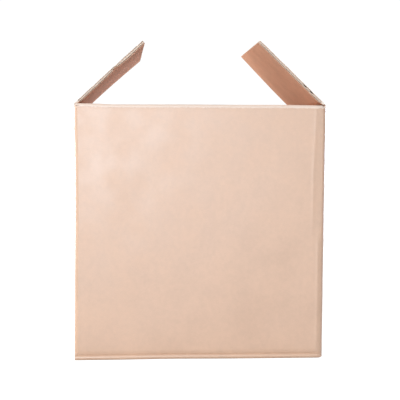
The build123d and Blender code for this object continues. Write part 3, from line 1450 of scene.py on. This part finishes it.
        # Wear from bending pales the rubbed paper on folds; on the front's top fold this is partly a
        # painted highlight.
        fold = np.clip(np.abs(np.gradient(heading, run)) * self.fold_wear_and_highlight, 0.0, most_fold)
        edge = np.exp(-(half - np.abs(across)) / self.worn_run) * most_edge
        tip = np.exp(-np.abs(run - (run[-1] if up else run[0])) / self.worn_run)
        wear = np.maximum(np.maximum(fold[None, :], edge[:, None]), tip[None, :])
        wear = np.repeat(wear[:, :, None], len(levels), 2)
        return CellBlock(points, flat, wear, solid, foot=up, head=not up)

    def ring_columns(self) -> RingColumns:
        """Goes round the walls from the left wall's cut rear edge to the end of the glued tab.

        Returns:
            The columns, in order.
        """
        made = RingColumns()
        for wall in (Wall.LEFT, Wall.FRONT, Wall.RIGHT, Wall.BACK):
            spaced = self.columns(wall)
            if wall is Wall.LEFT:
                rear = self.sizes.half_width - self.joint_step
                spaced = np.concatenate([[-rear, self.stock.groove - rear], spaced])
            for across in spaced:
                outer, inner = wall.place(self.sizes.reach(wall), across, (0.0, self.stock.thickness), 0.0)
                made.add(outer[:2], inner[:2], wall, 0.0)
            if wall is not Wall.BACK:
                self._add_corner(made, wall)
        self._add_tab(made)
        return made

    def _add_corner(self, made: RingColumns, wall: Wall) -> None:
        """Adds the columns of the rounded corner at the right end of a wall.

        Args:
            made: The columns so far.
            wall: The wall before the corner.
        """
        size, board, radius = self.sizes, self.stock.thickness, self.sizes.corner_radius
        reach, other = size.reach(wall), size.half_length if wall.is_long else size.half_width
        first = wall.place(reach, other - radius, radius, 0.0)[:2]
        inner = board + self.inner_radius
        second = wall.place(reach, other - inner, inner, 0.0)[:2]
        ahead = wall.place(0.0, 1.0, 0.0, 0.0)[:2]
        for turn in np.linspace(0.0, math.pi / 2.0, self.corner_columns):
            way = np.array(wall.value) * math.cos(turn) + ahead * math.sin(turn)
            wear = self.corner_wear[0] + self.corner_wear[1] * math.sin(2.0 * turn)
            made.add(first + way * radius, second + way * self.inner_radius, None, wear)

    def _add_tab(self, made: RingColumns) -> None:
        """Adds the fold at the back left corner and the thin tab that is glued inside the left wall.

        Args:
            made: The columns so far.
        """
        size, board = self.sizes, self.stock.thickness
        face = -(size.half_length - board - self.tab_gap)
        radius = abs(face) - size.long_half
        centre = np.array([-size.long_half, size.half_width - radius])
        for share in np.linspace(*self.tab_turn, self.tab_turn_columns):
            turn = share * math.pi / 2.0
            thinned = face + board + (self.tab_board - board) * share
            x = max(thinned, -size.long_half - self.tab_pinch[0] * share)
            inner = (x, size.half_width - board - self.tab_pinch[1] * share)
            outer = centre + radius * np.array([-math.sin(turn), math.cos(turn)])
            made.add(outer, inner, None, self.tab_fold_wear)
        start = size.half_width - radius - self.stock.groove
        end = size.half_width - board - self.tab_width
        for y in np.linspace(start, end, self.tab_columns):
            wear = self.tab_edge_wear if y == end else self.tab_wear
            made.add((face, y), (face + self.tab_board, y), None, wear)

    def ring(self) -> tuple[CellBlock, list[CellBlock]]:
        """Builds the walls and corners, and the corners' feet between the bottom slots.

        Returns:
            The block of the walls, and one block for each corner's foot.
        """
        made = self.ring_columns()
        rows, levels, count = self.wall_rows(), self.stock.levels, len(made.walls)
        lengths = np.concatenate([[0.0], np.cumsum(np.linalg.norm(np.diff(made.outer, axis=0), axis=1))])
        inside = np.array([self._in_panel(*column) for column in zip(made.walls, made.outer)])
        joined = inside[:-1] & inside[1:] & [a is b for a, b in zip(made.walls[:-1], made.walls[1:])]
        tab_cells = np.arange(count - 1) >= count - 1 - self.tab_columns
        solid = np.ones((count - 1, len(rows) - 1, 3), bool)
        solid[np.ix_(tab_cells, rows[:-1] >= self.wall_top - self.tab_trim - SLACK)] = False
        solid[0, :, 1] = False
        solid[~joined & ~tab_cells, -1, 1] = False
        near_top = np.exp(-(self.wall_top - rows) / self.worn_top)
        # Near the wall's top the rubbed paper pales, partly as a painted highlight on the top fold.
        wear = np.maximum(np.array(made.wear)[:, None], self.top_wear_and_highlight * near_top[None, :])
        wear[0, :] = self.cut_wear
        wear = np.repeat(wear[:, :, None], len(levels), 2)
        points = self._column_points(made, slice(0, count), rows)
        flat = lattice(lengths, rows, levels)
        ring = CellBlock(points, flat, wear, solid, foot=joined | ~tab_cells, head=joined)
        low = np.array([self.sizes.corner_foot, *self.foot_rows, self.sizes.wall_foot])
        feet = []
        for start, end in self._runs(~joined & ~tab_cells):
            picked = slice(start, end + 1)
            points = self._column_points(made, picked, low)
            front = near_face(-points[..., 1], self.sizes.half_width, self.retreat_skin)
            points[..., 1] += self.foot_retreat * front * smooth(-low, *self.retreat_zone)[None, :, None]
            filled = np.ones((end - start, len(low) - 1, 3), bool)
            filled[0, :, 1] = start > 0
            flat = lattice(lengths[picked], low, levels)
            wear = np.full(flat.shape[:3], self.corner_foot_wear)
            feet.append(CellBlock(points, flat, wear, filled, head=True))
        return ring, feet

    def _column_points(self, columns: RingColumns, picked: slice, heights: np.ndarray) -> np.ndarray:
        """Finds the points of some columns of the ring.

        Args:
            columns: The ring's columns.
            picked: Which of them are wanted.
            heights: The heights of the points.

        Returns:
            The points of each column, at each height and level.
        """
        made = []
        for outer, inner, wall in zip(columns.outer[picked], columns.inner[picked], columns.walls[picked]):
            share = np.ones(len(heights))
            if wall is not None:
                share = self.thickness(wall, heights) / self.stock.thickness
            depth = share[:, None] * self.stock.levels[None, :]
            plan = outer + (inner - outer) * depth[..., None]
            height = np.broadcast_to(heights[:, None, None], depth.shape + (1,))
            made.append(np.concatenate([plan, height], -1))
        return self.shape.bend(np.array(made))

    def _in_panel(self, wall: Wall | None, point: np.ndarray) -> bool:
        """Whether a column stands in a wall's panel, between its slots.

        Args:
            wall: The column's wall, if it has one.
            point: Its outer point, as x and y.

        Returns:
            True where the column is part of the panel, or is its cut edge.
        """
        if wall is None:
            return False
        x, y = wall.value
        return abs(x * point[1] - y * point[0]) <= self.sizes.panel_half(wall) + SLACK

    @staticmethod
    def _runs(flags: np.ndarray) -> list[tuple[int, int]]:
        """First and last line of each unbroken run of flagged cells."""
        edges = np.flatnonzero(np.diff(np.concatenate([[0], flags.astype(int), [0]])))
        return [(int(a), int(b)) for a, b in zip(edges[::2], edges[1::2])]

    def build(self) -> list[bpy.types.Object]:
        """Builds the board and its flutes, and seats both on the carton's body.

        Returns:
            The finished pieces.
        """
        board = MeshBuilder()
        ring, feet = self.ring()
        for block in (ring, *feet):
            board.add(block)
        flutes = MediumBuilder(self.stock, FlutedMedium(self.stock))
        for index, wall in enumerate(Wall):
            half = self.sizes.panel_half(wall)
            foot = self.long_foot_path() if wall.is_long else self.short_foot_path()
            start, end = foot.run[-1] - self.solid_foot, foot.run[0]
            seed, rows = self.foot_seed + index, self.foot_flute_rows
            board.add(self.strip(wall, foot, (end, start), seed, up=False))
            flutes.lay(self.placer(wall, foot, seed), half, start, end, rows, seed)
            seed, rows = self.top_seed + index, self.top_flute_rows
            if wall.is_long:
                top = self.long_top_path()
                start, end = top.run[self.crest_points - 1] + self.solid_tuck, top.run[-1]
                board.add(self.strip(wall, top, (start, end), seed, up=True))
                flutes.lay(self.placer(wall, top, seed), half, start, end, rows, seed)
            else:
                board.add(self.strip(wall, self.short_top_path(), (0.0, 0.0), seed, up=True))
        made = [board.build("carton_board", board_papers()), flutes.build("carton_flutes")]
        made.append(self.fold_lines())
        for piece in made:
            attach(piece, "carton")
            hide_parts("carton")
        return made

    def fold_lines(
        self,
        radius: float = 0.34,
        sides: int = 8,
        trim: float = 0.1,
        sink: float = 0.57,
        drop: float = 0.05,
    ) -> bpy.types.Object:
        """The rolled paper along the two side folds, which the side flaps turn on.

        Args:
            radius: The roll's radius.
            sides: Faces round the roll.
            trim: How far it stops short of the wall's cut edges.
            sink: How far its middle lies in from the outer face, as a share of its radius.
            drop: How far its middle lies below the hinge line.

        Returns:
            One piece with both rolls.
        """
        rolls = MeshBuilder()
        half = self.sizes.short_half - trim
        across = split((-half, half), self.roll_spacing)
        turn = np.linspace(0.0, 2.0 * math.pi, sides + 1)
        centre, middle = radius * sink, self.sizes.hinge_height - drop
        inset, height = centre - radius * np.cos(turn), middle + radius * np.sin(turn)
        solid = np.ones((len(across) - 1, sides, 1), bool)
        for wall in (Wall.LEFT, Wall.RIGHT):
            shell = wall.place(self.sizes.half_length, across[:, None], inset[None, :], height[None, :])
            core = wall.place(self.sizes.half_length, across[:, None], centre, middle)
            core = core + (shell - core) * self.roll_core
            points = np.stack([shell, core], 2)
            flat = lattice(across, height, np.array((0.0, 1.0)))
            wear = np.full(points.shape[:3], self.roll_wear)
            block = CellBlock(points, flat, wear, solid, foot=True, head=True)
            rolls.add(block, (Finish.OUTER_LINER,) * 2, (Finish.OUTER_LINER,))
        return rolls.build("carton_fold_lines", board_papers(), 60.0)


@dataclass(frozen=True)
class FlapWarp:
    """How one side flap is twisted, squeezed and torn, in millimetres; its rises are at its tip."""

    near_rise: float
    near_curl: float
    far_rise: float
    far_curl: float
    far_trim: float = 0.0
    curl_skew: float = 0.8
    wander: float = 0.3
    wander_wave: float = 150.0
    root_bulge: float = 0.15
    bulge_at: float = 6.5
    bulge_width: float = 3.5
    taper: float = 0.008
    pinch_at: float = 66.6
    pinch_width: float = 4.6
    pinch: float = 0.0
    swell_at: float = 89.0
    swell_width: float = 10.0
    swell: float = 0.0
    tear_at: tuple[float, ...] = (35.0, 24.0)
    tear_width: float = 2.6
    tear_levels: tuple[float, float] = (0.12, 0.86)
    tear: float = 0.0
    fray: float = 0.22
    fray_wave: float = 34.0
    fray_zone: tuple[float, float] = (9.0, 20.0)
    edge_reach: float = 7.0


@dataclass
class SideFlap:
    """One of the two top flaps that swing, leaning in over the mouth of the carton."""

    name: str
    wall: Wall
    lift: float
    sizes: CartonSizes
    stock: BoardStock
    warp: FlapWarp
    seed: int
    hollow_from: float = 6.0
    flute_rows: int = 44
    column_spacing: float = 5.0
    row_spacing: float = 2.5
    closing_at: tuple[float, ...] = (0.12, 0.6, 1.5, 2.8, 9.0)
    closing_board: tuple[float, ...] = (0.08, 0.5, 1.35, 2.4, 4.0)
    closing_row: float = 4.4
    edge_phase: float = 114.0
    worn_edge: float = 1.4
    worn_fold: float = 2.5
    # How far from the fold painted shade darkens the inner face, as the shadow inside the closed crease.
    painted_crease_reach: float = 5.0

    def nearness(self, across: Any) -> np.ndarray:
        """Share from 0 at the far cut edge to 1 at the edge nearest the front."""
        side = 1.0 if self.wall is Wall.LEFT else -1.0
        return np.clip(0.5 + 0.5 * side * np.asarray(across, float) / self.sizes.short_half, 0.0, 1.0)

    def board_depth(self, along: Any) -> np.ndarray:
        """The board's thickness along the flap, closing to nothing at the fold."""
        return np.interp(along, self.closing_at, self.closing_board)

    def place(self, across: Any, along: Any, depth: Any) -> np.ndarray:
        """Finds points of the flap.

        Args:
            across: Distance along the fold.
            along: Distance from the fold.
            depth: Depth, from 0 at the outer face to 1 at the inner one.

        Returns:
            The points in the carton's frame.
        """
        across, along, depth = np.broadcast_arrays(*(np.asarray(v, float) for v in (across, along, depth)))
        warp, near = self.warp, self.nearness(across)
        share = along / self.sizes.flap_length
        along = along - warp.far_trim * (1.0 - near) * share
        across = across * (1.0 - warp.taper * share)
        rise = (warp.far_rise + (warp.near_rise - warp.far_rise) * near) * share
        curl = warp.far_curl + (warp.near_curl - warp.far_curl) * near
        rise += curl * np.sin(math.pi * np.clip(share, 0.0, 1.0) ** warp.curl_skew)
        rise += warp.root_bulge * bump(along, warp.bulge_at, warp.bulge_width)
        wander = warp.wander * ripple(across, warp.wander_wave, self.seed)
        rise += wander * share * 4.0 * near * (1.0 - near)
        board = self.board_depth(along)
        edge = np.exp(-(1.0 - near) * 2.0 * self.sizes.short_half / warp.edge_reach)
        pinch = warp.pinch * bump(along, warp.pinch_at, warp.pinch_width)
        pinch -= warp.swell * bump(along, warp.swell_at, warp.swell_width)
        tear = sum(bump(along, spot, warp.tear_width) for spot in warp.tear_at) * warp.tear
        first, last = warp.tear_levels
        tear = np.where((depth > first) & (depth < last), tear * (last - depth), 0.0)
        fray = warp.fray * ripple(along, warp.fray_wave, self.seed) * smooth(along, *warp.fray_zone)
        inward = board * (depth + edge * (tear - pinch * depth)) + edge * fray
        angle = math.radians(self.lift)
        inset = along * math.cos(angle) + (inward - rise) * math.sin(angle)
        height = self.sizes.hinge_height + along * math.sin(angle) - (inward - rise) * math.cos(angle)
        return self.wall.place(self.sizes.half_length, across, inset, height)

    def build(self) -> list[bpy.types.Object]:
        """Builds the flap's liners and its flutes, and seats both on its body.

        Returns:
            The finished pieces.
        """
        half, length = self.sizes.short_half, self.sizes.flap_length
        stock = self.stock
        across = split(stock.cut_knots(half), self.column_spacing)
        knots = (*self.closing_at, self.closing_row, self.hollow_from)
        knots += (length - stock.groove, length - stock.cut_margin, length)
        along, levels = split(knots, self.row_spacing), stock.levels
        solid = np.ones((len(across) - 1, len(along) - 1, 3), bool)
        solid[:, (along[:-1] + along[1:]) / 2.0 > self.hollow_from, 1] = False
        edge = np.exp(-(half - np.abs(across)) / self.worn_edge)
        tip = np.exp(-(length - along) / self.worn_edge)
        fold = np.exp(-along / self.worn_fold)
        cut = np.maximum(edge[:, None], tip[None, :])[:, :, None]
        # Painted shade: near the fold the inner face gets wear below 0, which darkens it as the shadow of
        # the crease.
        crease = bump(along, 0.0, self.painted_crease_reach)[None, :, None] * (levels > 0.5)
        wear = np.maximum(cut * (1.0 - crease), fold[None, :, None] * (levels < 0.5)) - crease
        board = MeshBuilder()
        points = self.place(*axes(across, along, levels))
        board.add(CellBlock(points, lattice(across, along, levels), wear, solid))
        flutes = MediumBuilder(stock, FlutedMedium(stock))
        turn = math.radians(self.edge_phase if self.wall is Wall.LEFT else 360.0 - self.edge_phase)
        flutes.lay(self.place, half, self.hollow_from, length, self.flute_rows, self.seed, turn)
        made = [board.build(f"{self.name}_board", board_papers()), flutes.build(f"{self.name}_flutes")]
        for piece in made:
            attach(piece, self.name)
            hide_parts(self.name)
        return made


@dataclass
class BottomTape:
    """The strip of tape along the bottom seam, turned up over the foot of both side walls."""

    sizes: CartonSizes
    shape: WallShape
    half_width: float = 24.0
    thickness: float = 0.14
    rise: float = 60.0
    proud: float = 0.15
    end_runs: tuple[float, ...] = (0.0, 1.5, 6.0)
    run_spacing: float = 7.0
    tooth_pitch: float = 2.4
    tooth_depth: float = 1.1
    sway: float = 0.25
    sway_wave: float = 90.0

    def path(self) -> FoldPath:
        """The strip's section from one torn end to the other, as x and height.

        Returns:
            The section.
        """
        reach, flat_end = self.sizes.half_length + self.proud, self.sizes.long_half
        bend = reach - flat_end
        turn = np.linspace(0.0, math.pi / 2.0, 9)
        half = [(reach, self.rise - below) for below in self.end_runs]
        half += [(flat_end + bend * math.cos(a), bend - bend * math.sin(a)) for a in turn]
        inner = [(x - self.thickness, z) for x, z in half[: len(self.end_runs)]]
        small = bend - self.thickness
        inner += [(flat_end + small * math.cos(a), bend - small * math.sin(a)) for a in turn]
        outer = [(-x, z) for x, z in half] + half[::-1]
        inner = [(-x, z) for x, z in inner] + inner[::-1]
        return FoldPath(outer, inner)

    def build(self) -> bpy.types.Object:
        """Builds the strip and seats it on the carton's body.

        Returns:
            The finished piece.
        """
        path = self.path()
        across = np.arange(-self.half_width, self.half_width + SLACK, self.tooth_pitch / 2.0)
        run = split(path.run, self.run_spacing)
        flat = lattice(across, run, np.array((0.0, 1.0)))
        x, z = path.at(flat[..., 1], flat[..., 2])
        tooth = np.where(np.arange(len(across)) % 2 == 0, 0.0, self.tooth_depth)
        for end in (0, -1):
            z[:, end, :] -= tooth[:, None]
        y = flat[..., 0]
        sway = self.sway * ripple(run, self.sway_wave, 4)[None, :, None]
        y = y + sway * (np.abs(y) / self.half_width)
        points = self.shape.bend(np.stack([x, y, z], -1))
        below = np.abs(x) <= self.sizes.long_half + self.shape.under_slack
        points[..., 2] = np.where(below, z, points[..., 2])
        solid = np.ones((len(across) - 1, len(run) - 1, 1), bool)
        strip = MeshBuilder()
        strip.add(CellBlock(points, flat, np.zeros(points.shape[:3]), solid), (0, 0), (0,))
        made = strip.build("bottom_tape_film", [TapeFinish().material()], 50.0)
        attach(made, "carton")
        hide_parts("bottom_tape")
        return made


@dataclass(frozen=True)
class SoftLamp:
    """A large square studio lamp."""

    name: str
    place: tuple[float, float, float]
    aim: tuple[float, float, float]
    side: float
    power: float
    colour: tuple[float, float, float] = (1.0, 1.0, 1.0)

    def build(self) -> None:
        """Hangs the lamp and points it."""
        data = bpy.data.lights.new(self.name, "AREA")
        data.shape = "SQUARE"
        data.size = self.side
        data.energy = self.power
        data.color = self.colour
        lamp = linked(self.name, data)
        lamp.location = self.place
        lamp.rotation_euler = (Vector(self.aim) - Vector(self.place)).to_track_quat("-Z", "Y").to_euler()


@dataclass
class Studio:
    """The pale floor, the soft light and the camera at the photograph's angle."""

    camera_place: tuple[float, float, float] = (-0.08913, -1.39315, 0.2692)
    yaw: float = -3.9477
    pitch: float = -3.1268
    roll: float = -0.21
    focal_pixels: float = 1031.8
    picture_pixels: float = 400.0
    sensor: float = 36.0
    ambient: float = 0.27
    backdrop: float = 1.05
    floor_gap: float = 0.0002
    floor_colour: Colour = (0.9, 0.9, 0.9, 1.0)
    floor_paint: float = 0.6
    floor_glow: float = 1.4
    floor_share: float = 0.9
    lamps: tuple[SoftLamp, ...] = (
        SoftLamp("key_lamp", (-0.3, -2.6, 0.5), (0.0, 0.0, 0.2), 0.6, 30.5, (0.91, 1.0, 1.09)),
        SoftLamp("left_lamp", (-2.3, -0.8, 0.8), (0.0, 0.0, 0.2), 1.0, 24.5),
        SoftLamp("low_lamp", (1.1, -2.2, 0.25), (0.05, 0.0, 0.1), 1.0, 8.2),
        SoftLamp("mouth_lamp", (-1.7, -0.3, 2.3), (0.05, 0.0, 0.3), 1.0, 29.0),
        SoftLamp("rear_left_lamp", (-1.7, 1.7, 0.6), (0.0, 0.0, 0.33), 1.2, 49.0, (1.03, 1.06, 1.1)),
        SoftLamp("rear_right_lamp", (1.7, 1.7, 0.6), (0.0, 0.0, 0.33), 1.2, 54.0, (0.92, 1.13, 1.45)),
    )

    def build(self) -> None:
        """Sets up the camera, the floor, the background and the lamps."""
        self._camera()
        self._floor()
        self._background()
        for lamp in self.lamps:
            lamp.build()
        bpy.context.scene.view_settings.view_transform = "Standard"

    def _camera(self) -> None:
        """Places the camera where the photograph was taken from."""
        data = bpy.data.cameras.new("photo_camera")
        data.sensor_width = self.sensor
        data.lens = self.focal_pixels * self.sensor / self.picture_pixels
        data.clip_start, data.clip_end = 0.01, 50.0
        camera = linked("photo_camera", data)
        turn = Matrix.Identity(4)
        for angle, axis in ((self.yaw, "Z"), (self.pitch, "X"), (self.roll, "Y"), (90.0, "X")):
            turn = turn @ Matrix.Rotation(math.radians(angle), 4, axis)
        camera.matrix_world = Matrix.Translation(self.camera_place) @ turn
        bpy.context.scene.camera = camera

    def _floor(self, radius: float = 9.0, sides: int = 64) -> None:
        """Lays a round pale floor.

        Args:
            radius: The floor's radius in metres.
            sides: How many sides its rim has.
        """
        turns = np.linspace(0, 2 * math.pi, sides + 1)[:-1]
        ring = [(radius * math.cos(turn), radius * math.sin(turn), -self.floor_gap) for turn in turns]
        mesh = bpy.data.meshes.new("studio_floor")
        mesh.from_pydata(ring, [], [list(range(sides))])
        material = bpy.data.materials.new("studio_floor_paint")
        graph = emptied(material)
        place = graph.node("ShaderNodeTexCoord").outputs["Object"]
        tone = graph.ramp(graph.noise(place, 40.0, 4.0), 0.3, 0.7, 0.985, 1.0)
        colour = graph.mix(1.0, self.floor_colour, graph.grey(tone), "MULTIPLY")
        paint = graph.mix(1.0, colour, (*(self.floor_paint,) * 3, 1.0), "MULTIPLY")
        shader = graph.node("ShaderNodeBsdfPrincipled", {"Base Color": paint, "Roughness": 0.9})
        glow = graph.node("ShaderNodeEmission", {"Color": colour, "Strength": self.floor_glow})
        seen = graph.node("ShaderNodeLightPath").outputs["Is Camera Ray"]
        share = graph.math("MULTIPLY", seen, self.floor_share)
        both = graph.node("ShaderNodeMixShader", {0: share, 1: shader.outputs[0], 2: glow.outputs[0]})
        graph.node("ShaderNodeOutputMaterial", {"Surface": both.outputs[0]})
        mesh.materials.append(material)
        floor = linked("studio_floor", mesh)

    def _background(self) -> None:
        """Lights all round softly, and shows white behind the carton."""
        world = bpy.data.worlds.new("studio")
        graph = emptied(world)
        plain = (1.0, 1.0, 1.0, 1.0)
        soft = graph.node("ShaderNodeBackground", {"Color": plain, "Strength": self.ambient})
        white = graph.node("ShaderNodeBackground", {"Color": plain, "Strength": self.backdrop})
        seen = graph.node("ShaderNodeLightPath").outputs["Is Camera Ray"]
        both = graph.node("ShaderNodeMixShader", {0: seen, 1: soft.outputs[0], 2: white.outputs[0]})
        graph.node("ShaderNodeOutputWorld", {"Surface": both.outputs[0]})
        bpy.context.scene.world = world


def main() -> None:
    """Builds the studio, the carton, its flaps and its tape, and notes their sizes."""
    logging.basicConfig(level=logging.INFO, format="%(name)s: %(message)s")
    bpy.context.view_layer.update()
    joints = {joint["child"]: joint for joint in frame["joints"]}
    sizes = CartonSizes.from_frame(frame["joints"])
    stock = BoardStock()
    shape = WallShape(sizes)
    Studio().build()
    made = CartonBody(sizes, stock, shape).build()
    for name, wall, warp, seed in (
        ("left_flap", Wall.LEFT, FlapWarp(1.6, 0.45, 0.0, 1.1, far_trim=6.1, pinch=0.52, swell=0.2), 11),
        ("right_flap", Wall.RIGHT, FlapWarp(-3.0, 0.2, -0.4, -0.9, far_trim=1.2, tear=0.8), 17),
    ):
        lift = -joints[name]["range_deg"][0]
        made += SideFlap(name, wall, lift, sizes, stock, warp, seed).build()
    made.append(BottomTape(sizes, shape).build())
    for piece in made:
        LOG.info("%s has %d faces", piece.name, len(piece.data.polygons))


if __name__ == "__main__":
    main()
